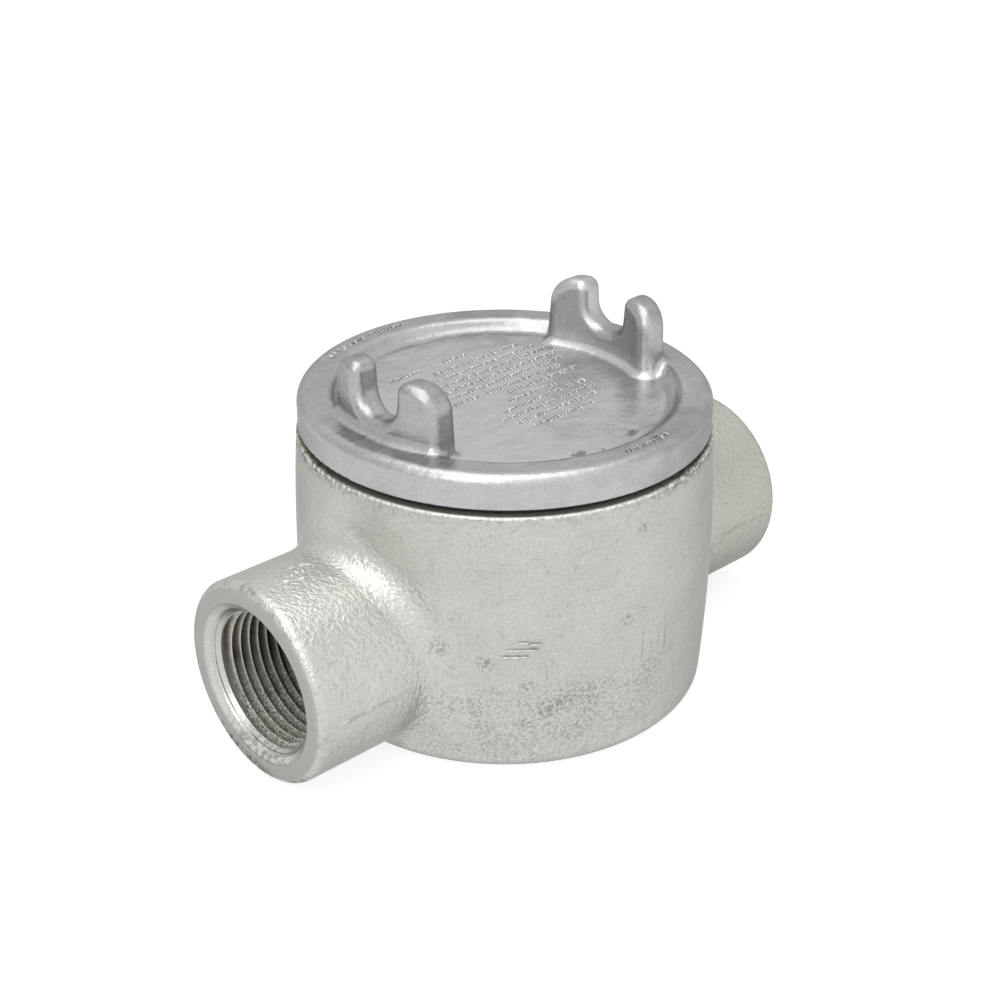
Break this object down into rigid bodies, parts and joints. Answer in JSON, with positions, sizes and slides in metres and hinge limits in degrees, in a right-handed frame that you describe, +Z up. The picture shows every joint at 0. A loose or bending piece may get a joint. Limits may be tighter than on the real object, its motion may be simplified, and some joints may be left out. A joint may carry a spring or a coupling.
{
  "type": "threaded round junction box",
  "caption": "Round cast conduit box with threaded hubs in line and a screw-on gasketed cover whose notched lugs take a bar; it houses and protects wire joints.",
  "frame": {"origin": "centre of the flat bottom of the body", "axes": "+X along the line of the two hubs, +Y towards the side with the grounding screw, +Z up towards the cover"},
  "size_m": [0.1404, 0.093, 0.0822],
  "materials": {
    "body_casting": "aluminium-grey lacquer, semi-gloss",
    "cover_casting": "satin, as cast",
    "gasket": "matt",
    "screw": "green dyed plating"
  },
  "bodies": {
    "box": {"box_body": "body_casting", "ground_screw": "screw"},
    "gasket": {"cover_gasket": "gasket"},
    "cover": {"cover": "cover_casting"}
  },
  "joints": [
    {"name": "cover_lift", "type": "slide", "parent": "box", "child": "gasket", "axis": [0, 0, 1], "range_m": [0, 0.01906]},
    {"name": "cover_turn", "type": "hinge", "parent": "gasket", "child": "cover", "pos_m": [0, 0, 0.06145], "axis": [0, 0, 1], "range_deg": [0, 2160]}
  ],
  "couplings": [
    {"joint": "cover_lift", "follows": "cover_turn", "m_per_rad": 0.00050532}
  ]
}
